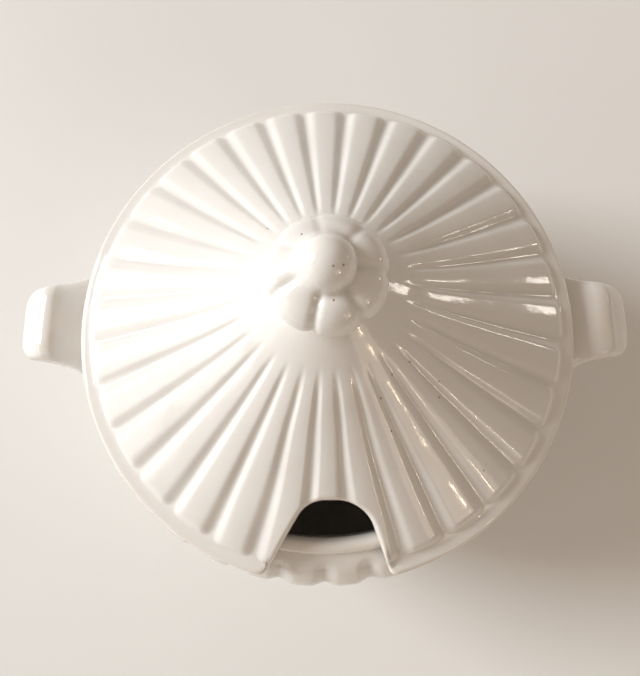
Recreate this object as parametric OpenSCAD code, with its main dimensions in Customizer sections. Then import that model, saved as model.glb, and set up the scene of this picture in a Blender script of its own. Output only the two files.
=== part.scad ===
// Fluted soup tureen: a bowl with two lug handles, and a lid with a ladle notch and a melon knob.
// Millimetres, +Z up. The origin is on the table under the middle of the foot, the ladle notch
// faces -Y and the handles point along X. Every piece is glazed white earthenware.

/* [Bowl] */
// Radius of the belly at its widest
belly_r = 121.8; // [121:0.2:123]
// Height of the widest part of the belly above the table
belly_z = 84.8; // [84:0.2:86]
// Height of the rim that the lid rests on
rim_z = 110; // [109:0.5:112]
// Outer radius of the rim
rim_r = 104; // [103:0.2:104.6]
// Thickness of the rim
rim_w = 7; // [6.4:0.2:7.4]
// Thickness of the wall below the rim
wall = 6; // [5:0.5:6.5]
// Outer radius of the foot ring
foot_r = 66; // [62:1:70]
// Width of the foot ring
foot_w = 8; // [6:1:10]
// How far the foot ring stands below the bottom of the bowl
foot_h = 4; // [3:0.5:4]

/* [Flutes] */
// How many flutes go round the bowl
bowl_flutes = 36; // [32:4:40]
// How many flutes go round the lid
lid_flutes = 32; // [28:4:36]
// Depth of the grooves between the bowl's flutes
bowl_groove_h = 2; // [1.5:0.25:2.5]
// Radius of the bottoms of those grooves
bowl_groove_r = 4.5; // [4:0.5:5]
// Height above the table where the bowl's grooves end
groove_end_z = 24; // [20:1:40]
// Depth of the lid's grooves for each millimetre out from its middle
lid_groove_h = 0.022; // [0.018:0.001:0.024]
// Radius of their bottoms for each millimetre out from its middle
lid_groove_r = 0.035; // [0.03:0.001:0.04]

/* [Handles] */
// How far the tip of each handle is from the middle of the bowl
handle_reach = 149.6; // [146:0.2:151]
// Height of the handles' crest above the table
handle_crest_z = 104.6; // [103:0.2:106]
// Width of a handle where it meets the bowl
handle_root_w = 53; // [50:1:56]
// Width of a handle over its crest
handle_crest_w = 37; // [34:1:39]
// Width of a handle at its tip
handle_tip_w = 31.6; // [29:0.2:33]
// How far behind the middle of the bowl the handles sit
handle_back = 1.6; // [0:0.2:2.4]

/* [Lid] */
// Radius of the lid
lid_r = 114.4; // [114:0.1:115]
// Thickness of the lid
lid_t = 5; // [4:0.5:5.5]
// How far the flutes stand above the plain border
pad_h = 2; // [1.5:0.1:2.5]
// Depth of the ring under the lid that keeps it in the bowl's mouth
flange_h = 8; // [6:1:9]
// Width of that ring
flange_w = 4; // [3:0.5:5]
// Gap between that ring and the bowl's mouth
flange_gap = 2.4; // [2:0.2:3]
// How far the lid has slipped to the right in that gap
lid_x = 1.2; // [0:0.2:1.2]
// How far the lid has slipped to the front in that gap
lid_slip = 1.4; // [0:0.2:1.4]

/* [Ladle notch] */
// How far the closed end of the notch is from the middle of the lid
notch_in = 78.4; // [76:0.1:82]
// Radius of the notch's tighter corner, on the left
notch_left_r = 13; // [10:1:14]
// Radius of the notch's wider corner, on the right
notch_right_r = 17; // [15:1:19]
// How far the left side of the notch flares
notch_left_a = 30.5; // [28:0.5:32]
// How far the right side of the notch flares
notch_right_a = 20.5; // [19:0.5:24]

/* [Knob] */
// Number of lobes round the knob
lobes = 7; // [6:1:8]
// Radius of the knob over its lobes
knob_r = 21.6; // [21:0.2:22]
// Radius of the ball on top of the knob
ball_r = 9.6; // [9:0.2:10]

/* [Hidden] */
$fn = 96;
glaze = "#f2eee8";
bowl_pitch = 360 / bowl_flutes;
lid_pitch = 360 / lid_flutes;
far = 140;

// A point at distance d from c, in the direction a.
function polar(c, d, a) = c + d * [cos(a), sin(a)];
// Points along the circle of radius r about c, from angle a0 to a1.
function arc(c, r, a0, a1, n) = [for (i = [0:n]) polar(c, r, a0 + (a1 - a0) * i / n)];
// Points along a cubic curve from a to d, with handles b and c.
function curve(a, b, c, d, n) = [for (i = [0:n]) let (t = i / n, s = 1 - t)
    s * s * s * a + 3 * s * s * t * b + 3 * s * t * t * c + t * t * t * d];

// The bowl in section is a tight shoulder arc over a long under-belly arc, which meet at the
// belly. The cavity follows both arcs one wall thickness inside them.
shoulder_r = 20.2;
shoulder_c = [belly_r - shoulder_r, belly_z];
under_r = belly_z - foot_h + 0.3;
under_c = [belly_r - under_r, belly_z];
rim_round = rim_w / 2;
rim_c = [rim_r - rim_round, rim_z - rim_round];
neck_z = 100;
mouth_r = rim_r - rim_w;

// Heights on the lid are measured from the middle of its rounded edge, and its middle is at
// lid_at. The lid sits on the rim with a flat ledge, its edge hangs outside the rim, and the knob
// stands on a flat at its peak.
ledge_z = 1.2;
ledge_out_r = rim_r + 2.4;
lid_at = [lid_x, -lid_slip, rim_z - ledge_z];
edge_round = 2.5;
border_in = [108.4, 3.4];
pad_end = [107.2, 3.8 + pad_h];
middle = [69, 26];
collar = [34.5, 47.4];
peak = [13.5, 62];
lid_drop = lid_t * 1.15 + pad_h / 2;
flange_r = mouth_r - flange_gap;
flange_stop = 21;

// The knob's lobes are balls in a ring, round a core and under the top ball.
knob_lobe_r = 9.2;
knob_lobe_z = 71.3;
ball_z = 91 - ball_r;

// The part of a circle that lies between two heights, at or right of the middle line.
module slab(c, r, z0, z1) intersection() {
    translate(c) circle(r = r);
    translate([0, z0]) square([far, z1 - z0]);
}

// The bowl's section, filled, between the shoulder and under-belly arcs set in by some amount.
module belly_section(inset, bottom) {
    slab(under_c, under_r - inset, bottom, belly_z);
    translate([0, bottom]) square([under_c[0], belly_z - bottom]);
    slab(shoulder_c, shoulder_r - inset, belly_z, belly_z + shoulder_r);
    translate([0, belly_z]) square([shoulder_c[0], shoulder_r - inset - 0.5]);
}

// The bowl's outer shape without flutes, filled to the rim.
module bowl_core() rotate_extrude() {
    belly_section(0, foot_h);
    translate([foot_r - foot_w, 0]) square([foot_w, 2 * foot_w]);
    polygon(concat([[0, neck_z], [rim_r, neck_z]], arc(rim_c, rim_round, 0, 180, 8), [[0, rim_c[1]]]));
}

module bowl_cavity() rotate_extrude() {
    belly_section(wall, foot_h + wall);
    translate([0, belly_z]) square([mouth_r, rim_z]);
}

// One groove of the bowl, on the +X side: a round cut that follows both arcs.
module bowl_groove() {
    lift = bowl_groove_r - bowl_groove_h;
    end_a = -asin((belly_z - groove_end_z) / under_r);
    top_a = 78;
    translate([under_c[0], 0, under_c[1]]) rotate([90, 0, 0]) rotate([0, 0, end_a])
        rotate_extrude(angle = -end_a) translate([under_r + lift, 0]) circle(r = bowl_groove_r);
    translate([shoulder_c[0], 0, shoulder_c[1]]) rotate([90, 0, 0])
        rotate_extrude(angle = top_a) translate([shoulder_r + lift, 0]) circle(r = bowl_groove_r);
}

module bowl() color(glaze) difference() {
    bowl_core();
    bowl_cavity();
    for (i = [0:bowl_flutes - 1]) rotate([0, 0, i * bowl_pitch]) bowl_groove();
}

// A handle in side view: a lug whose top rises gently from the bowl to a crest and falls to its tip.
module handle_side()
    polygon(concat(
        curve([105, 60], [113, 61], [119, 62], [121.5, 64], 2),
        curve([122.5, 67], [124, 80], [131, 89.5], [140, 90], 6),
        curve([handle_reach - 4, 88.8], [handle_reach, 88.2], [handle_reach + 0.6, 94],
              [handle_reach - 2, 96.6], 5),
        curve([handle_reach - 5, 99.2], [142, 102.6], [137, handle_crest_z], [132, handle_crest_z], 5),
        curve([129.5, handle_crest_z], [125, handle_crest_z - 1], [120, 102], [114, 100], 5),
        [[105, 98]]));

// A handle from above, wide where it meets the bowl and rounded at its tip.
handle_half = concat(
    [[100, handle_root_w / 2 + 2]],
    curve([116, handle_root_w / 2], [121, handle_root_w / 2 - 3], [122, handle_crest_w / 2 + 0.6],
          [130, handle_crest_w / 2], 6),
    curve([handle_reach - 8, handle_tip_w / 2 + 1], [handle_reach - 3, handle_tip_w / 2 + 0.4],
          [handle_reach - 0.6, handle_tip_w / 2 - 4], [handle_reach, 4], 6));
module handle_plan() polygon(concat(handle_half, [for (i = [len(handle_half) - 1:-1:0])
    [handle_half[i][0], -handle_half[i][1]]]));

// The handle on the +X side, shaped to the belly that it is luted onto.
module handle(back) difference() {
    translate([0, back, 0]) intersection() {
        rotate([90, 0, 0]) linear_extrude(height = handle_root_w + 8, center = true) handle_side();
        linear_extrude(height = far) handle_plan();
    }
    bowl_core();
}

module handle_left() color(glaze) rotate([0, 0, 180]) handle(-handle_back);
module handle_right() color(glaze) handle(handle_back);

// The lid before its grooves and notch are cut. The flutes' level steps down to the border.
module lid_blank() {
    rotate_extrude() polygon(concat(
        [[0, peak[1] - lid_drop], [peak[0], peak[1] - lid_drop], collar - [0, lid_drop],
         middle - [0, lid_drop], [flange_r - flange_w - 1, 5], [flange_r - flange_w, ledge_z],
         [ledge_out_r, ledge_z], [ledge_out_r + 1.6, -edge_round]],
        arc([lid_r - edge_round, 0], edge_round, -90, 80, 8),
        [border_in, pad_end, middle, collar, peak, [0, peak[1]]]));
    flange();
}

// The ring that keeps the lid in the bowl's mouth. It stops short of the ladle notch.
module flange() rotate([0, 0, flange_stop - 90]) rotate_extrude(angle = 360 - 2 * flange_stop)
    translate([flange_r - flange_w, ledge_z - flange_h]) square([flange_w, flange_h + 2]);

// A groove of the lid between two points of its section: a slender cone that widens outwards.
module groove_run(p, q) {
    run = norm(q - p);
    lift = lid_groove_r - lid_groove_h;
    translate([p[0], 0, p[1] + lift * p[0]]) rotate([0, 90 - atan2(q[1] - p[1], q[0] - p[0]), 0])
        cylinder(h = run, r1 = lid_groove_r * p[0], r2 = lid_groove_r * q[0]);
}

// One groove of the lid, on the +X side.
module lid_groove() {
    over = [1.6, -0.8];
    groove_run(collar, middle);
    groove_run(middle, pad_end + over);
}

// The ladle notch from above: a closed end with a tight left corner and a wide right one, and
// sides that flare out to the lid's edge.
module ladle_notch() {
    left_c = [-0.9, -notch_in - notch_left_r];
    right_c = [3, -notch_in - notch_right_r];
    left_p = polar(left_c, notch_left_r, 180 - notch_left_a);
    right_p = polar(right_c, notch_right_r, notch_right_a);
    run = 48;
    translate([0, 0, -far / 2]) linear_extrude(height = far)
        polygon(concat(arc(right_c, notch_right_r, notch_right_a, 90, 8),
                       arc(left_c, notch_left_r, 90, 180 - notch_left_a, 6),
                       [polar(left_p, run, 270 - notch_left_a), polar(right_p, run, notch_right_a - 90)]));
}

module lid() color(glaze) translate(lid_at) difference() {
    lid_blank();
    for (i = [0:lid_flutes - 1]) rotate([0, 0, 90 + (i + 0.5) * lid_pitch]) lid_groove();
    ladle_notch();
}

module knob() color(glaze) translate(lid_at) {
    rotate_extrude()
        polygon([[0, peak[1]], peak, peak + [-1.6, 1.4], peak + [-2.4, 4],
                 [peak[0] - 2, knob_lobe_z], [peak[0] - 4, ball_z - 2], [0, ball_z]]);
    for (i = [0:lobes - 1])
        rotate([0, 0, 20 + i * 360 / lobes]) translate([knob_r - knob_lobe_r, 0, knob_lobe_z])
            sphere(r = knob_lobe_r);
    translate([0, 0, ball_z]) sphere(r = ball_r);
}

bowl();
handle_left();
handle_right();
lid();
knob();
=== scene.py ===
import math

import bpy
import numpy as np
from mathutils import Matrix, Vector


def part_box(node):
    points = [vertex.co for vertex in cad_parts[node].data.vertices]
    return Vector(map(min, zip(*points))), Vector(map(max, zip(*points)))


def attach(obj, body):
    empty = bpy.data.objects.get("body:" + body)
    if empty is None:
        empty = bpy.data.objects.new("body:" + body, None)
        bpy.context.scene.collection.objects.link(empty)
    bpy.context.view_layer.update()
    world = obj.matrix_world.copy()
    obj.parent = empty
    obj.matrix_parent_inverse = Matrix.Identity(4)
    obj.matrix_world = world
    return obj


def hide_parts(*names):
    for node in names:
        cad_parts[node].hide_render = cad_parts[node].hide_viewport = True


# The looks of a white fluted tureen: a bowl with two lug handles, and a lid with a ladle notch
# and a lobed knob. Shapes are worked out in millimetres and become metres in add_piece().

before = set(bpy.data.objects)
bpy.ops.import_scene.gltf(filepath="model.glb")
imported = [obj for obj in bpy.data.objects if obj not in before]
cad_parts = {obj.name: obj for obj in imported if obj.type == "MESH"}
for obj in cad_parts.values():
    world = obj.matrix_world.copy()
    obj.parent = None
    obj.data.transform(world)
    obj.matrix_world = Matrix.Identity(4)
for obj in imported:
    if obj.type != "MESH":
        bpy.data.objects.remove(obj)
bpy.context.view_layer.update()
MM = 0.001
rng = np.random.default_rng(7)

# ---------------------------------------------------------------------------- driving sizes, mm
LID_FLUTES = 32
BOWL_FLUTES = 36
FLUTE_COLUMNS = 24

# Taken from the boxes of the CAD's own parts.
RIM_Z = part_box("bowl")[1][2] / MM
LID_LOW, LID_HIGH = (np.array(corner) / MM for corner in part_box("lid"))
LID_R = (LID_HIGH[0] - LID_LOW[0]) / 2
LID_AT = ((LID_HIGH[0] + LID_LOW[0]) / 2, LID_HIGH[1] - LID_R)
KNOB_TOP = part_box("knob")[1][2] / MM
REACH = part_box("handle_right")[1][0] / MM
CREST_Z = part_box("handle_right")[1][2] / MM

# Handles: how far out their crest is, how far they sit behind the bowl's middle, and how deep
# their root goes into its wall.
CREST = 132.3
HANDLE_BACK = 1.6
ROOT_DEPTH = 3.0

# Bowl: a shoulder arc over a long under-belly arc, and a cavity one wall inside both.
BELLY_R = 121.7
BELLY_Z = 84.8
SHOULDER_R = 20.2
SHOULDER_C = (BELLY_R - SHOULDER_R, BELLY_Z)
UNDER_R = 81.1
UNDER_C = (BELLY_R - UNDER_R, BELLY_Z)
WALL = 6.0
RIM_R = 104.0
RIM_ROUND = 3.5
RIM_C = (RIM_R - RIM_ROUND, RIM_Z - RIM_ROUND)
MOUTH_R = RIM_C[0] - RIM_ROUND
BOWL_GROOVE = 2.0
FLOOR_Z = 10
BASE_Z = 4.4

# The parts of the bowl's section in order, from the middle of its floor to under its foot.
ZONES = ("floor", "under_in", "shoulder_in", "mouth", "rim_in", "rim", "neck", "shoulder", "under",
         "foot", "foot_side", "base")

# Lid: heights are measured from the middle of its rounded edge, which is LID_Z above the table.
LEDGE = 1.2
LEDGE_IN = 97.6
LEDGE_OUT = 105.6
LID_Z = RIM_Z - LEDGE
PEAK_TOP = 62.2
PEAK_UNDER = 55.0
EDGE_ROUND = 2.3
EDGE_POWER = 2.5
PAD_END_R = 107.9
PAD_END_ROUND = 4.0
PAD_CORNER = 5.0
NOTCH_IN = 78.4
NOTCH_LEFT = {"c": (-0.9, -NOTCH_IN - 13.0), "r": 13.0, "face": 149.5, "side": 239.5}
NOTCH_RIGHT = {"c": (3.0, -NOTCH_IN - 17.0), "r": 17.0, "face": 20.5, "side": -69.5}
NOTCH_FINE = 9.6
FLANGE_STOP = 21.0

# Knob: a ring of lobes under a ball.
LOBES = 7
LOBE_R = 10.2
LOBE_RING = 11.4
LOBE_Z = 70.0
LOBE_START = 24.0
CREASE = 0.9
BALL_R = 9.6
BALL_Z = KNOB_TOP - BALL_R - LID_Z

# Pinholes in the glaze, as x and y seen from above.
LID_PINHOLES = [(32.5, -27), (45, -33.5), (25.5, -32), (21.5, -40.5), (26, -52.5), (45.5, -39.5),
                (66.5, -68.5), (-22, 26)]
KNOB_PINHOLES = [(3, -5.2), (6, -4.5), (3.2, -13.1), (-7, 9)]


# ------------------------------------------------------------------------------- small geometry
def step(lo, hi, v):
    """0 below lo, 1 above hi, and a smooth rise between."""
    t = np.clip((v - lo) / (hi - lo), 0, 1)
    return t * t * (3 - 2 * t)


def soft_min(a, b, k):
    """The smaller of a and b, with the change from one to the other rounded over k."""
    h = np.clip(k - np.abs(a - b), 0, None) / k
    return np.minimum(a, b) - h * h * k / 4


def arc(c, r, a0, a1, n):
    """Points along the circle of radius r about c, from angle a0 to a1."""
    a = np.radians(np.linspace(a0, a1, n))
    return np.stack([c[0] + r * np.cos(a), c[1] + r * np.sin(a)], -1)


def curve(a, b, c, d, n):
    """Points along a cubic curve from a to d, with handles b and c."""
    t = np.linspace(0, 1, n)[:, None]
    a, b, c, d = (np.array(p, float) for p in (a, b, c, d))
    return (1 - t) ** 3 * a + 3 * (1 - t) ** 2 * t * b + 3 * (1 - t) * t * t * c + t ** 3 * d


def smooth_line(points):
    """A function that runs smoothly through the given (x, y) points."""
    x, y = np.array(points, float).T
    h = np.diff(x)
    rise = np.diff(y) / h
    mid = (rise[:-1] * h[1:] + rise[1:] * h[:-1]) / (h[1:] + h[:-1])
    m = np.concatenate([[rise[0]], mid, [rise[-1]]])

    def value(v):
        i = np.clip(np.searchsorted(x, v) - 1, 0, len(x) - 2)
        t = np.clip((v - x[i]) / h[i], 0, 1)
        ends = (2 * t ** 3 - 3 * t ** 2 + 1) * y[i] + (3 * t ** 2 - 2 * t ** 3) * y[i + 1]
        slopes = (t ** 3 - 2 * t ** 2 + t) * m[i] + (t ** 3 - t ** 2) * m[i + 1]
        return ends + slopes * h[i]

    return value


def resample(points, n):
    """n points evenly spread along a line of points."""
    points = np.array(points, float)
    run = np.concatenate([[0], np.cumsum(np.hypot(*np.diff(points, axis=0).T))])
    at = np.linspace(0, run[-1], n)
    return np.stack([np.interp(at, run, points[:, i]) for i in (0, 1)], -1)


def ring_solid(rings, start, end):
    """A closed shape from rings of points, each going once round, with a pole at either end."""
    rows, cols = rings.shape[:2]
    verts = np.concatenate([rings.reshape(-1, 3), [start, end]])
    j = np.arange(cols)
    k = (j + 1) % cols
    i = np.arange(rows - 1)[:, None] * cols
    quads = np.stack([i + j, i + cols + j, i + cols + k, i + k], -1).reshape(-1, 4)
    last = (rows - 1) * cols
    first_cap = np.stack([np.full(cols, rows * cols), j, k], -1)
    last_cap = np.stack([np.full(cols, rows * cols + 1), last + k, last + j], -1)
    return verts, quads.tolist() + first_cap.tolist() + last_cap.tolist()


def turned(verts, degrees):
    """The points turned about the Z axis."""
    a = math.radians(degrees)
    x = verts[..., 0] * math.cos(a) - verts[..., 1] * math.sin(a)
    y = verts[..., 0] * math.sin(a) + verts[..., 1] * math.cos(a)
    return np.stack([x, y, verts[..., 2]], -1)


def add_piece(name, shape, body, node, slot, materials, face_material=None, **fields):
    """A finished piece from its shape in mm, with a float per vertex for each named field."""
    verts, faces = shape
    mesh = bpy.data.meshes.new(name)
    mesh.from_pydata((verts * MM).tolist(), [], faces)
    for material in materials:
        mesh.materials.append(material)
    if face_material is not None:
        mesh.polygons.foreach_set("material_index", face_material)
    for key, values in fields.items():
        padded = np.zeros(len(verts))
        padded[: values.size] = values.ravel()
        mesh.attributes.new(key, "FLOAT", "POINT").data.foreach_set("value", padded)
    mesh.shade_smooth()
    mesh.update()
    piece = bpy.data.objects.new(name, mesh)
    bpy.context.scene.collection.objects.link(piece)
    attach(piece, body)
    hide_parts(node)


# ---------------------------------------------------------------------------------- materials
class Nodes:
    """Short ways to add shader nodes to one material."""

    def __init__(self, name):
        self.material = bpy.data.materials.new(name)
        self.material.use_nodes = True
        self.tree = self.material.node_tree
        self.bsdf = self.tree.nodes["Principled BSDF"]
        self.place = self.tree.nodes.new("ShaderNodeTexCoord").outputs["Object"]

    def link(self, value, socket):
        """Joins a socket to the value, or sets the socket to it if it is a number."""
        if isinstance(value, bpy.types.NodeSocket):
            self.tree.links.new(value, socket)
        else:
            socket.default_value = value

    def noise(self, scale, detail=2.0, roughness=0.5):
        n = self.tree.nodes.new("ShaderNodeTexNoise")
        self.link(self.place, n.inputs["Vector"])
        n.inputs["Scale"].default_value = scale
        n.inputs["Detail"].default_value = detail
        n.inputs["Roughness"].default_value = roughness
        return n.outputs["Fac"]

    def math(self, operation, *values):
        n = self.tree.nodes.new("ShaderNodeMath")
        n.operation = operation
        for value, socket in zip(values, n.inputs):
            self.link(value, socket)
        return n.outputs[0]

    def spread(self, value, lo, hi, to_lo=0.0, to_hi=1.0):
        """The value mapped from lo..hi to to_lo..to_hi, and held there."""
        n = self.tree.nodes.new("ShaderNodeMapRange")
        for v, socket in zip((value, lo, hi, to_lo, to_hi), n.inputs):
            self.link(v, socket)
        return n.outputs[0]

    def mix(self, share, a, b):
        n = self.tree.nodes.new("ShaderNodeMix")
        n.data_type = "RGBA"
        self.link(share, n.inputs["Factor"])
        self.link(a, n.inputs[6])
        self.link(b, n.inputs[7])
        return n.outputs[2]

    def field(self, name):
        n = self.tree.nodes.new("ShaderNodeAttribute")
        n.attribute_name = name
        return n.outputs["Fac"]

    def specks(self, scale, size, share):
        """Small round marks scattered at random: 1 inside one, and 0 elsewhere."""
        n = self.tree.nodes.new("ShaderNodeTexVoronoi")
        self.link(self.place, n.inputs["Vector"])
        n.inputs["Scale"].default_value = scale
        chosen = self.math("LESS_THAN", self.channel(n.outputs["Color"]), share)
        near = self.spread(n.outputs["Distance"], size, size * 0.5)
        return self.math("MULTIPLY", chosen, near)

    def marks(self, places, size):
        """Round marks seen from above, at places in mm: 1 inside one, and 0 elsewhere."""
        flat = self.tree.nodes.new("ShaderNodeVectorMath")
        flat.operation = "MULTIPLY"
        self.link(self.place, flat.inputs[0])
        flat.inputs[1].default_value = (1, 1, 0)
        total = 0.0
        for x, y in places:
            away = self.tree.nodes.new("ShaderNodeVectorMath")
            away.operation = "DISTANCE"
            self.link(flat.outputs[0], away.inputs[0])
            away.inputs[1].default_value = (x * MM, y * MM, 0)
            near = self.spread(away.outputs["Value"], size * MM, size * MM * 0.5)
            total = self.math("MAXIMUM", total, near)
        return total

    def channel(self, colour):
        """The red part of a colour."""
        n = self.tree.nodes.new("ShaderNodeSeparateColor")
        self.link(colour, n.inputs[0])
        return n.outputs[0]

    def bump(self, height, distance, strength=1.0, below=None):
        n = self.tree.nodes.new("ShaderNodeBump")
        n.inputs["Strength"].default_value = strength
        n.inputs["Distance"].default_value = distance
        self.link(height, n.inputs["Height"])
        if below is not None:
            self.link(below, n.inputs["Normal"])
        return n.outputs[0]

    def set(self, **values):
        for key, value in values.items():
            self.link(value, self.bsdf.inputs[key.replace("_", " ")])


def rgba(r, g, b):
    return (r, g, b, 1.0)


def white_glaze(name, pinholes=()):
    """Glossy warm white glaze: painted shade in grooves, creases and at the handles' roots, thin and
    warmer on edges, with a few pinholes.
    """
    m = Nodes(name)
    cloud = m.spread(m.noise(14, 3), 0.35, 0.65)
    body = m.mix(cloud, rgba(0.835, 0.805, 0.77), rgba(0.87, 0.845, 0.81))
    # Painted shade: a darker tone mixed in where the field marks a groove, a crease or a handle's root.
    pooled = m.mix(m.math("MULTIPLY", m.field("pool"), 0.55), body, rgba(0.73, 0.71, 0.67))
    thin = m.math("MULTIPLY", m.field("edge"), m.spread(m.noise(90, 2), 0.4, 0.7, 0.1, 0.5))
    edged = m.mix(thin, pooled, rgba(0.80, 0.71, 0.61))
    holes = m.math("MAXIMUM", m.specks(150, 0.05, 0.02), m.marks(pinholes, 0.42))
    colour = m.mix(holes, edged, rgba(0.40, 0.34, 0.29))
    wave = m.bump(m.noise(42, 2), 0.0009, 0.35)
    ripple = m.bump(m.noise(120, 3), 0.0003, 0.35, wave)
    skin = m.bump(m.noise(420, 2), 0.00008, 0.35, ripple)
    pits = m.bump(m.math("MULTIPLY", holes, -1.0), 0.0004, 0.8, skin)
    gloss = m.spread(m.noise(30, 4), 0.3, 0.7, 0.07, 0.15)
    m.set(Base_Color=colour, Roughness=gloss, IOR=1.52, Normal=pits, Coat_Weight=0.35,
          Coat_Roughness=0.04, Subsurface_Weight=0.06, Subsurface_Scale=0.002)
    m.bsdf.inputs["Subsurface Radius"].default_value = (1.0, 0.7, 0.5)
    return m.material


def biscuit():
    """Bare fired clay, where no glaze is put: dry, pale buff and finely grained."""
    m = Nodes("biscuit")
    grain = m.noise(900, 4, 0.7)
    cloud = m.mix(m.noise(40, 3), rgba(0.62, 0.53, 0.43), rgba(0.72, 0.64, 0.54))
    specked = m.mix(m.specks(420, 0.16, 0.12), cloud, rgba(0.36, 0.27, 0.20))
    m.set(Base_Color=specked, Roughness=0.88, Normal=m.bump(grain, 0.0002, 0.6))
    return m.material


def table_top():
    """Pale, matt, faintly uneven floor."""
    m = Nodes("table_top")
    cloud = m.spread(m.noise(3, 3), 0.3, 0.7)
    colour = m.mix(cloud, rgba(0.84, 0.82, 0.80), rgba(0.87, 0.855, 0.835))
    m.set(Base_Color=colour, Roughness=0.55, Normal=m.bump(m.noise(300, 3), 0.0002, 0.15))
    return m.material


# ------------------------------------------------------------------------------------- flutes
PAD_RISE = 1 + 0.06 * rng.standard_normal(BOWL_FLUTES)
PAD_REACH = 0.35 * rng.standard_normal(BOWL_FLUTES)
SWAY = [(5, 0.10, 1.1), (9, 0.07, 2.9), (13, 0.05, 0.4)]


def flute(psi, count, offset):
    """Which flute an angle is on, and how far it is from its middle (0) to its groove (1)."""
    sway = sum(a * np.sin(np.radians(n * psi) + shift) for n, a, shift in SWAY)
    turns = (psi + sway) * count / 360 - offset
    index = np.round(turns)
    return index.astype(int) % count, 2 * np.abs(turns - index)


def pad_section(s, groove):
    """A crowned pad's height across its width, 1 in its middle and 0 in the groove beside it."""
    return step(0, groove, 1 - s) ** 0.9 * (1 - 0.32 * s ** 2)


def column_angles(groups, count, offset):
    """Angles round one flute after another, closer together beside the grooves."""
    p = (np.arange(FLUTE_COLUMNS) + 0.5) / FLUTE_COLUMNS - 0.5
    a = p + 0.5 * np.sin(2 * np.pi * p) / (2 * np.pi)
    return np.concatenate([(k + offset + a) * 360 / count for k in groups])


# ---------------------------------------------------------------------------------------- lid
lid_valley = smooth_line([
    (0, PEAK_TOP), (10, PEAK_TOP), (13.5, 61.6), (23, 55.2), (34.5, 46.6), (46, 38.3), (69, 24.3),
    (92, 12.0), (103.5, 6.0), (108, 3.6), (112.6, 2.5), (116, 1.8)])
lid_dome = smooth_line([
    (0, PEAK_UNDER), (12, 53.6), (34.5, 40.6), (50, 30.3), (69, 18.9), (84, 9.4), (90.6, 5.0),
    (93, 2.6), (97, LEDGE), (105.2, LEDGE), (106.2, 0.2), (107.2, -2.0), (108.4, -2.5), (116, -2.5)])
flange_line = np.array([
    (90.0, 5.4), (91.2, 3.2), (91.5, 1.0), (91.7, -2), (91.9, -4.8), (92.3, -6.2), (93.0, -6.75),
    (93.8, -6.8), (94.6, -6.75), (95.3, -6.2), (95.7, -4.8), (95.8, -2), (95.9, 0.4), (96.3, 1.0),
    (97.2, LEDGE)])


def notch_gap(x, y):
    """How far a point is from the ladle notch; below 0 inside it."""
    gap = y + NOTCH_IN
    left_of = x < NOTCH_LEFT["c"][0]
    right_of = x > NOTCH_RIGHT["c"][0]
    for corner, beyond in ((NOTCH_LEFT, left_of), (NOTCH_RIGHT, right_of)):
        qx, qy = x - corner["c"][0], y - corner["c"][1]
        face, side = math.radians(corner["face"]), math.radians(corner["side"])
        along = qx * math.cos(side) + qy * math.sin(side)
        out = qx * math.cos(face) + qy * math.sin(face)
        around = np.where(along > 0, out, np.hypot(qx, qy)) - corner["r"]
        gap = np.where(beyond, around, gap)
    return gap


def lid_inset(r, psi):
    """How far in from the lid's outline a point is. psi is 0 at the notch."""
    a = np.radians(psi - 90)
    return soft_min(LID_R - r, notch_gap(r * np.cos(a), r * np.sin(a)), 3.2)


def lid_radius_at(inset, psi):
    """The radius at which each angle is that far in from the outline, found by halving."""
    lo = np.full(np.broadcast(inset, psi).shape, 60.0)
    hi = np.full_like(lo, LID_R + 0.5)
    for _ in range(34):
        mid = (lo + hi) / 2
        inside = lid_inset(mid, psi) > inset
        lo, hi = np.where(inside, mid, lo), np.where(inside, hi, mid)
    return (lo + hi) / 2


def lid_top(r, psi):
    """The height of the lid's top, and how much painted shade each point gets in the grooves."""
    wander = 0.3 * np.sin(r / 11 + 2.5 * np.sin(np.radians(7 * psi)))
    index, s = flute(psi + wander * step(3, 12, r - 40) * step(30, 20, np.abs(psi)), LID_FLUTES, 0)
    half = np.maximum(r, 1) * math.pi / LID_FLUTES
    across = pad_section(s, 0.54)
    side = np.clip(s * half - (half - PAD_CORNER), 0, PAD_CORNER)
    corner = PAD_CORNER - np.sqrt(PAD_CORNER ** 2 - side ** 2)
    into = np.clip((PAD_END_R + PAD_REACH[index] - corner - r) / PAD_END_ROUND, 0, 1)
    end = (1 - (1 - into) ** 2.2) ** 0.85
    swell = 1 + 0.07 * np.sin(r / 6.5 + 40 * PAD_RISE[index])
    rise = (0.25 + 0.0185 * r) * PAD_RISE[index] * swell * step(28, 41, r)
    # Painted shade: darkest in the middle of each groove, fading out towards the peak and past the pads'
    # ends.
    pool = (1 - across) ** 3 * step(30, 50, r) * step(0, 0.4, into)
    return lid_valley(r) + rise * across * end, pool


def lid_underside(r, psi):
    """The dome inside the lid, the ledge that sits on the rim, and the ring inside it."""
    plain = lid_dome(r)
    ring = np.interp(r, *flange_line.T)
    inside = (r > flange_line[0, 0]) & (r < flange_line[-1, 0])
    share = step(FLANGE_STOP, FLANGE_STOP + 1.6, np.abs(psi))
    return np.where(inside, plain + (ring - plain) * share, plain)


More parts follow.
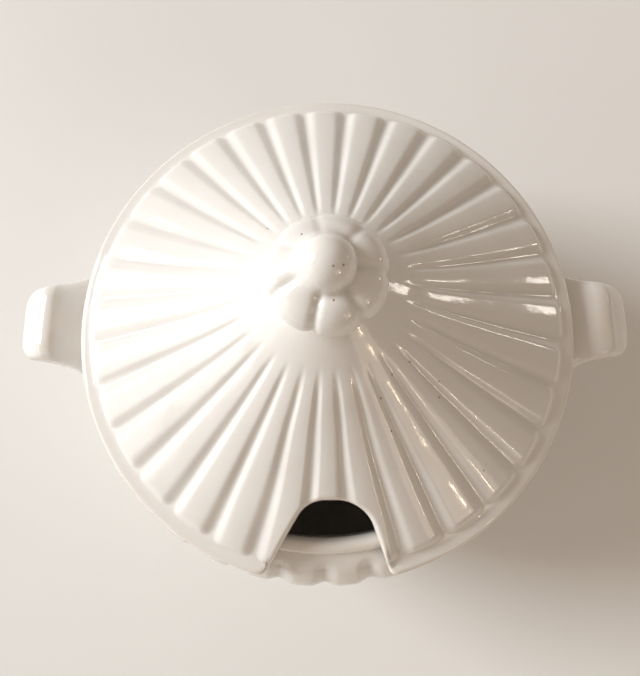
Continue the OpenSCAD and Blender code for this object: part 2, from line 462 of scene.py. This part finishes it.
def make_lid(glaze, bare):
    """The lid as one closed shape: top, rounded edge and cut faces, and underside."""
    sector = 1.5 * 360 / LID_FLUTES
    psi = np.concatenate([
        np.linspace(-sector, -NOTCH_FINE, 150, endpoint=False),
        np.linspace(-NOTCH_FINE, NOTCH_FINE, 100, endpoint=False),
        np.linspace(NOTCH_FINE, sector, 150, endpoint=False),
        column_angles(range(2, LID_FLUTES - 1), LID_FLUTES, 0)])
    psi = np.where(psi > 180, psi - 360, psi)
    inner = 70.0
    turn = np.linspace(0, np.pi / 2, 10)
    insets = EDGE_ROUND * (1 - np.sin(turn) ** (2 / EDGE_POWER))
    heights = np.cos(turn) ** (2 / EDGE_POWER)
    edge_r = lid_radius_at(insets[:, None], psi[None, :])
    full = LID_R - EDGE_ROUND

    def squeezed(radii):
        """Radii drawn in where the notch leaves less room, so that they end at the lid's edge."""
        share = (np.array(radii) - inner) / (full - inner)
        return inner + share[:, None] * (edge_r[0] - inner)[None, :]

    top_in = np.concatenate([[3, 6, 9, 11, 12.4], np.linspace(13.5, inner, 58, endpoint=False)])
    top_out = np.concatenate([np.linspace(inner, 99, 34, endpoint=False),
                              np.linspace(99, 109.4, 36, endpoint=False), [109.4, 110.4, 111.5]])
    under_out = np.concatenate([[111.4, 109.6, 108.4], np.linspace(108, 105, 13), [103, 101, 99],
                                flange_line[::-1, 0], np.linspace(89, inner, 18)])
    under_in = np.linspace(inner - 1.5, 3, 44)
    even = np.ones_like(psi)[None, :]
    r_top = np.concatenate([top_in[:, None] * even, squeezed(top_out)])
    z_top, pool = lid_top(r_top, psi[None, :])
    t_edge, _ = lid_top(edge_r, psi[None, :])
    u_edge = lid_underside(edge_r, psi[None, :])
    mid = (t_edge + u_edge) / 2
    z_over = mid + (t_edge - mid) * heights[:, None]
    z_under = mid + (u_edge - mid) * heights[:, None]
    r_under = np.concatenate([squeezed(under_out), under_in[:, None] * even])
    z_inside = lid_underside(r_under, psi[None, :])
    r = np.concatenate([r_top, edge_r, edge_r[-2::-1], r_under])
    z = np.concatenate([z_top, z_over, z_under[-2::-1], z_inside]) + LID_Z
    a = np.radians(psi - 90)[None, :]
    rings = np.stack([LID_AT[0] + r * np.cos(a), LID_AT[1] + r * np.sin(a), z], -1)
    shape = ring_solid(rings, (*LID_AT, LID_Z + PEAK_TOP), (*LID_AT, LID_Z + PEAK_UNDER))
    rows, cols = r.shape
    edge = np.zeros((rows, cols))
    edge[len(r_top): len(r_top) + 2 * len(edge_r) - 1] = 1
    edge *= step(3.5, 1.0, lid_inset(r, psi[None, :]))
    mid_r = (r[:-1] + r[1:]) / 2
    below = np.arange(rows - 1)[:, None] >= len(r_top) + len(edge_r)
    dry = below & (mid_r > LEDGE_IN) & (mid_r < LEDGE_OUT)
    face_material = np.concatenate([dry.ravel(), np.zeros(2 * cols)]).astype(np.int32)
    add_piece("lid_glazed", shape, "lid", "lid", "lid_glaze", [glaze, bare], face_material,
              pool=np.concatenate([pool, np.zeros((rows - len(pool), cols))]), edge=edge)


# --------------------------------------------------------------------------------------- knob
def make_knob(glaze):
    """A ring of lobes round a short stem, with a ball on top, blended onto the lid's peak."""
    lobe_turn = 1.6 * rng.standard_normal(LOBES)
    lobe_size = 1 - 0.02 * rng.random(LOBES)

    def front(x, y, r):
        """1 on the side where the lobes are crisp, towards the ladle notch, and 0 behind."""
        return 0.5 + 0.5 * (0.2 * x - 0.98 * y) / np.maximum(r, 1)

    def lobe_ring(x, y, z, r):
        """Distance to the ring of lobes: partly a plain ring, and partly balls side by side."""
        ring = np.hypot(r - LOBE_RING, z - LOBE_Z) - LOBE_R
        lobes = np.full(r.shape, 99.0)
        for i in range(LOBES):
            a = math.radians(LOBE_START + i * 360 / LOBES + lobe_turn[i])
            d = np.sqrt((x - LOBE_RING * math.cos(a)) ** 2 + (y - LOBE_RING * math.sin(a)) ** 2
                        + (z - LOBE_Z) ** 2) - LOBE_R * lobe_size[i]
            lobes = soft_min(lobes, d, 1.8)
        share = 0.2 + 0.33 * front(x, y, r)
        return (1 - share) * ring + share * lobes

    def creases(x, y, r):
        """How deep the creases between the lobes are."""
        turns = (np.degrees(np.arctan2(y, x)) - LOBE_START) * LOBES / 360 - 0.5
        away = np.abs(turns - np.round(turns)) * 2 * np.pi / LOBES * r
        depth = CREASE * (0.3 + 0.7 * front(x, y, r))
        return depth * np.exp(-(away / 1.5) ** 2) * step(5.5, 10.0, r)

    def distance(p):
        """About how far points are outside the knob and the lid that it stands on."""
        x, y, z = p[..., 0], p[..., 1], p[..., 2]
        r = np.hypot(x, y)
        core = np.maximum(r - 10.5, np.abs(z - LOBE_Z + 4) - 11.0)
        body = soft_min(lobe_ring(x, y, z, r) + creases(x, y, r), core, 1.5)
        lid = (z - lid_valley(r) + 0.18) * 0.8
        body = soft_min(body, lid, 3.2)
        ball = np.sqrt(x ** 2 + y ** 2 + (z - BALL_Z) ** 2) - BALL_R
        blend = 4.2 - 3.4 * (0.92 * x - 0.39 * y) / np.maximum(r, 1)
        return soft_min(body, ball, blend)

    psi = np.radians(np.arange(LOBES * 40) * 360 / (LOBES * 40))
    low = float(lid_valley(19.5))
    lift = np.radians(np.concatenate([np.linspace(89, 42, 34), np.linspace(41.4, 26, 30),
                                      np.linspace(25, 0, 20)]))
    down = np.linspace(LOBE_Z, low, 36)[1:]
    base_z = np.concatenate([np.full(len(lift), LOBE_Z), down])[:, None]
    lift = np.concatenate([lift, np.zeros(len(down))])[:, None]
    ray = np.stack([np.cos(lift) * np.cos(psi), np.cos(lift) * np.sin(psi),
                    np.sin(lift) * np.ones_like(psi)], -1)
    middle = np.zeros(ray.shape[:2])
    base = np.stack([middle, middle, middle + base_z], -1)
    # Each ray starts well outside the knob, and steps in until it meets it.
    t = np.full(ray.shape[:2], 34.0)
    for _ in range(90):
        t -= 0.8 * distance(base + ray * t[..., None])
    rings = base + ray * t[..., None]
    shape = ring_solid(rings + (*LID_AT, LID_Z), (*LID_AT, KNOB_TOP), (*LID_AT, low + LID_Z - 0.5))
    x, y = rings[..., 0], rings[..., 1]
    # Painted shade in the creases between the lobes, carried to the glaze as a darker tone.
    crease = creases(x, y, np.hypot(x, y)) / CREASE * step(LOBE_Z - 6, LOBE_Z, rings[..., 2])
    add_piece("knob_glazed", shape, "lid", "knob", "knob_glaze", [glaze], pool=crease)


# --------------------------------------------------------------------------------------- bowl
def bowl_profile():
    """The bowl's section: up inside, over the rim, down outside, and each point's zone."""
    inside_end = -math.degrees(math.asin((BELLY_Z - 10.4) / (UNDER_R - WALL)))
    inner_top = math.degrees(math.acos((MOUTH_R - SHOULDER_C[0]) / (SHOULDER_R - WALL)))
    under_in = arc(UNDER_C, UNDER_R - WALL, inside_end + 8, 0, 60)
    floor = curve((4, FLOOR_Z), (25, FLOOR_Z), (42, FLOOR_Z), under_in[0], 26)
    under_in = under_in[1:]
    shoulder_in = arc(SHOULDER_C, SHOULDER_R - WALL, 0, inner_top - 8, 26)[1:]
    mouth = curve(shoulder_in[-1], (MOUTH_R + 0.9, 98.9), (MOUTH_R, 99.6), (MOUTH_R, 101.4), 8)[1:]
    rim_in = [(MOUTH_R, z) for z in (103, 105, 106.4)]
    rim = arc(RIM_C, RIM_ROUND, 180, 0, 22)
    neck = [(RIM_R, 106.0), (RIM_R + 0.05, 105.5), (RIM_R + 0.25, 105.0)]
    shoulder = arc(SHOULDER_C, SHOULDER_R, 81, 0, 64)
    under = arc(UNDER_C, UNDER_R, 0, -66.5, 110)[1:]
    foot = curve(under[-1], (69.5, 9.2), (66.4, 7.6), (66.2, 5.6), 8)[1:]
    foot_side = [(66.1, 4), (66, 2.4), (65.9, 1.3), (65.5, 0.5), (64.8, 0.08), (63.6, 0), (60.2, 0),
                 (59.2, 0.08), (58.5, 0.5), (58.1, 1.3), (58, 2.4)]
    base = [(57.6, 3.6), (56.4, 4.2), (52, BASE_Z), (40, BASE_Z), (20, BASE_Z), (5, BASE_Z)]
    parts = [floor, under_in, shoulder_in, mouth, rim_in, rim, neck, shoulder, under, foot,
             foot_side, base]
    zone = np.concatenate([np.full(len(p), i) for i, p in enumerate(parts)])
    return np.concatenate([np.array(p, float) for p in parts]), zone


def make_bowl(glaze, bare):
    """The bowl as one closed shape, with pads and grooves on its outside."""
    line, zone = bowl_profile()
    on_rim, on_shoulder, on_under, on_foot = (
        zone == ZONES.index(name) for name in ("rim", "shoulder", "under", "foot_side"))
    tangent = np.gradient(line, axis=0)
    tangent /= np.linalg.norm(tangent, axis=1)[:, None]
    normal = np.stack([-tangent[:, 1], tangent[:, 0]], -1)
    r, z = line[:, 0][:, None], line[:, 1][:, None]
    psi = column_angles(range(BOWL_FLUTES), BOWL_FLUTES, 0.5)
    index, s = flute(psi, BOWL_FLUTES, 0.5)
    fluted = on_shoulder | on_under
    across = pad_section(s[None, :], 0.62)
    high = np.where(on_shoulder[:, None], step(104.7, 101.6, z), 1.0)
    low = step(22.0, 29.0, z - 3.5 * (1 - s[None, :]))
    depth = BOWL_GROOVE * (0.35 + 0.65 * r / BELLY_R) * PAD_RISE[index][None, :]
    sink = depth * (1 - across) * high * low * fluted[:, None]
    rr = r - normal[:, 0][:, None] * sink
    zz = z - normal[:, 1][:, None] * sink
    a = np.radians(psi - 90)[None, :]
    rings = np.stack([rr * np.cos(a), rr * np.sin(a), zz * np.ones_like(a)], -1)
    shape = ring_solid(rings, (0, 0, FLOOR_Z), (0, 0, BASE_Z))
    rows, cols = rr.shape
    mid_z = (line[:-1, 1] + line[1:, 1]) / 2
    dry = on_foot[1:] & (mid_z < 1.6)
    face_material = np.concatenate([np.repeat(dry, cols), np.zeros(2 * cols)])
    # Painted shade in the grooves between the pads, carried to the glaze as a darker tone.
    pool = (1 - across) ** 3 * high * low * fluted[:, None]
    crown = 0.8 * on_rim * step(1.2, 3.4, line[:, 1] - RIM_C[1])
    edge = crown[:, None] * np.ones_like(a)
    add_piece("bowl_glazed", shape, "bowl", "bowl", "bowl_glaze", [glaze, bare],
              face_material.astype(np.int32), pool=pool, edge=edge)


# ------------------------------------------------------------------------------------ handles
def bowl_surface_r(z):
    """The outer radius of the bowl's belly at a height."""
    above = SHOULDER_C[0] + np.sqrt(np.clip(SHOULDER_R ** 2 - (z - BELLY_Z) ** 2, 0, None))
    below = UNDER_C[0] + np.sqrt(np.clip(UNDER_R ** 2 - (z - BELLY_Z) ** 2, 0, None))
    return np.where(z > BELLY_Z, above, below)


def make_handle(name, node, degrees, back, glaze, phase):
    """A lug handle: sections between its upper and lower lines, from inside the wall to its tip."""
    stations = 86
    upper = resample(np.concatenate([
        [(112.0, 98.4)],
        curve((114.6, 100.4), (120, 101.9), (125, 102.9), (CREST - 3, CREST_Z - 0.5), 14),
        curve((CREST - 1.6, CREST_Z - 0.1), (CREST, CREST_Z + 0.15), (CREST + 2, CREST_Z),
              (CREST + 4, CREST_Z - 0.8), 8),
        curve((CREST + 6, CREST_Z - 2), (140, 101.2), (143.4, 99.2), (REACH - 3.4, 97.4), 12),
        curve((REACH - 2.5, 96.8), (REACH - 0.9, 95.8), (REACH - 0.1, 94.4), (REACH - 0.05, 92.6), 8),
    ]), stations)
    lower = resample(np.concatenate([
        [(112.0, 60.5)],
        curve((117.6, 62.5), (122.4, 66.6), (123.0, 70.6), (124.6, 76.0), 10),
        curve((125.2, 78.2), (127.6, 84.6), (132.2, 88.6), (140.2, 89.2), 14),
        curve((142, 89.2), (REACH - 2.0, 88.9), (REACH - 0.2, 89.8), (REACH - 0.05, 92.4), 10),
    ]), stations)
    half_width = smooth_line([
        (110, 27.6), (114, 26.8), (118, 25.0), (122, 22.8), (126, 21.0), (130, 19.8), (136, 18.8),
        (REACH - 8, 18.0), (REACH - 5.5, 17.3), (REACH - 3.5, 16.2), (REACH - 1.6, 14.0), (REACH, 10.8)])
    turn = np.linspace(0, 2 * np.pi, 72, endpoint=False)
    u = np.linspace(0, 1, stations)[:, None]
    power = 2 / (4.6 - 0.8 * step(0.75, 1.0, u))
    across = np.sign(np.cos(turn)) * np.abs(np.cos(turn)) ** power
    updown = np.sign(np.sin(turn)) * np.abs(np.sin(turn)) ** power
    mid, arm = (upper + lower) / 2, (upper - lower) / 2
    reach = np.where(updown > 0, upper[:, :1], lower[:, :1])
    x = mid[:, :1] + arm[:, :1] * updown
    z = mid[:, 1:] + arm[:, 1:] * updown
    width = half_width((x + reach) / 2)
    y = width * across
    root = 1 - step(0.0, 0.10, u)
    r_wall = bowl_surface_r(z) - ROOT_DEPTH
    x_wall = np.sqrt(np.clip(r_wall ** 2 - y ** 2, 0, None))
    x = x * (1 - root) + x_wall * root
    wobble = 0.12 * np.sin(x * 0.35 + phase) * np.cos(y * 0.3)
    y = y + back
    rings = np.stack([x, y, z + wobble * (1 - root)], -1)[:, ::-1]
    rings[..., 0] = np.minimum(rings[..., 0], REACH - 0.02)
    root_z = rings[0, :, 2].mean()
    start = (float(bowl_surface_r(root_z)) - ROOT_DEPTH, back, root_z)
    verts, faces = ring_solid(rings, start, rings[-1].mean(axis=0))
    shape = turned(verts, degrees), faces
    edge = step(CREST_Z - 1.4, CREST_Z - 0.2, rings[..., 2])
    # Painted shade where the handle meets the bowl's wall, carried to the glaze as a darker tone.
    pool = step(5.0, 1.0, np.hypot(rings[..., 0], rings[..., 1]) - bowl_surface_r(rings[..., 2]))
    add_piece(name, shape, "bowl", node, "handle_glaze", [glaze], pool=0.6 * pool, edge=edge)


# ------------------------------------------------------------------------- stage, light, camera
def make_floor():
    """A large plain table top."""
    half = 1.6
    mesh = bpy.data.meshes.new("floor")
    corners = [(-half, -half, 0), (half, -half, 0), (half, half, 0), (-half, half, 0)]
    mesh.from_pydata(corners, [], [(0, 1, 2, 3)])
    mesh.materials.append(table_top())
    floor = bpy.data.objects.new("floor", mesh)
    bpy.context.scene.collection.objects.link(floor)


def area_light(name, place, target, size, power, colour):
    """A rectangular lamp that faces the target."""
    light = bpy.data.lights.new(name, "AREA")
    light.shape = "RECTANGLE"
    light.size, light.size_y = size
    light.energy = power
    light.color = colour
    lamp = bpy.data.objects.new(name, light)
    lamp.location = place
    lamp.rotation_euler = (Vector(target) - Vector(place)).to_track_quat("-Z", "Y").to_euler()
    bpy.context.scene.collection.objects.link(lamp)


def make_light():
    """A large window on the left, a room that is dimmer on the right, a soft fill from the front
    right, and small far lamps that leave bright points on the glaze."""
    world = bpy.data.worlds.new("room")
    world.use_nodes = True
    tree = world.node_tree
    background = tree.nodes["Background"]
    direction = tree.nodes.new("ShaderNodeTexCoord").outputs["Generated"]
    split = tree.nodes.new("ShaderNodeSeparateXYZ")
    tree.links.new(direction, split.inputs[0])
    share = tree.nodes.new("ShaderNodeMapRange")
    for value, socket in zip((-1.0, 1.0, 0.48, 0.26), share.inputs[1:5]):
        socket.default_value = value
    tree.links.new(split.outputs[0], share.inputs[0])
    tree.links.new(share.outputs[0], background.inputs[1])
    background.inputs[0].default_value = (1.0, 0.83, 0.68, 1)
    bpy.context.scene.world = world
    bpy.context.scene.view_settings.view_transform = "Standard"
    aim = (0, 0, 0.11)
    area_light("window", (-5.2, 1.35, 2.6), aim, (2.7, 2.5), 390, (0.94, 0.98, 1.0))
    area_light("low_window", (-1.7, -0.3, 0.55), aim, (1.3, 0.6), 3, (0.96, 0.98, 1.0))
    area_light("far_window", (1.27, 0.39, 0.343), aim, (0.18, 0.08), 0.4, (1.0, 0.94, 0.86))
    area_light("room", (1.4, -1.5, 1.1), aim, (0.8, 0.8), 3, (1.0, 0.84, 0.68))
    for height in (0.533, 0.604):
        area_light(f"lamp_{height}", (0.813, -0.785, height), aim, (0.035, 0.035), 0.12, (1.0, 0.8, 0.55))


def make_camera():
    """The camera, close above the lid and a little to the front."""
    across = Vector((0.99996, -0.00392, -0.00753))
    up = Vector((0.00535, 0.97968, 0.20051))
    back = across.cross(up)
    data = bpy.data.cameras.new("camera")
    data.lens = 28.49
    data.sensor_width = 36
    camera = bpy.data.objects.new("camera", data)
    place = Vector((-0.0002, -0.05876, 0.3524))
    turn = Matrix((across, up, back)).transposed().to_4x4()
    camera.matrix_world = Matrix.Translation(place) @ turn
    data.clip_start = 0.01
    bpy.context.scene.collection.objects.link(camera)
    bpy.context.scene.camera = camera


bare_clay = biscuit()
make_lid(white_glaze("lid_glaze", LID_PINHOLES), bare_clay)
make_knob(white_glaze("knob_glaze", KNOB_PINHOLES))
make_bowl(white_glaze("bowl_glaze"), bare_clay)
handle_glaze = white_glaze("handle_glaze")
make_handle("handle_right_glazed", "handle_right", 0, HANDLE_BACK, handle_glaze, 0.0)
make_handle("handle_left_glazed", "handle_left", 180, -HANDLE_BACK, handle_glaze, 2.0)
make_floor()
make_light()
make_camera()
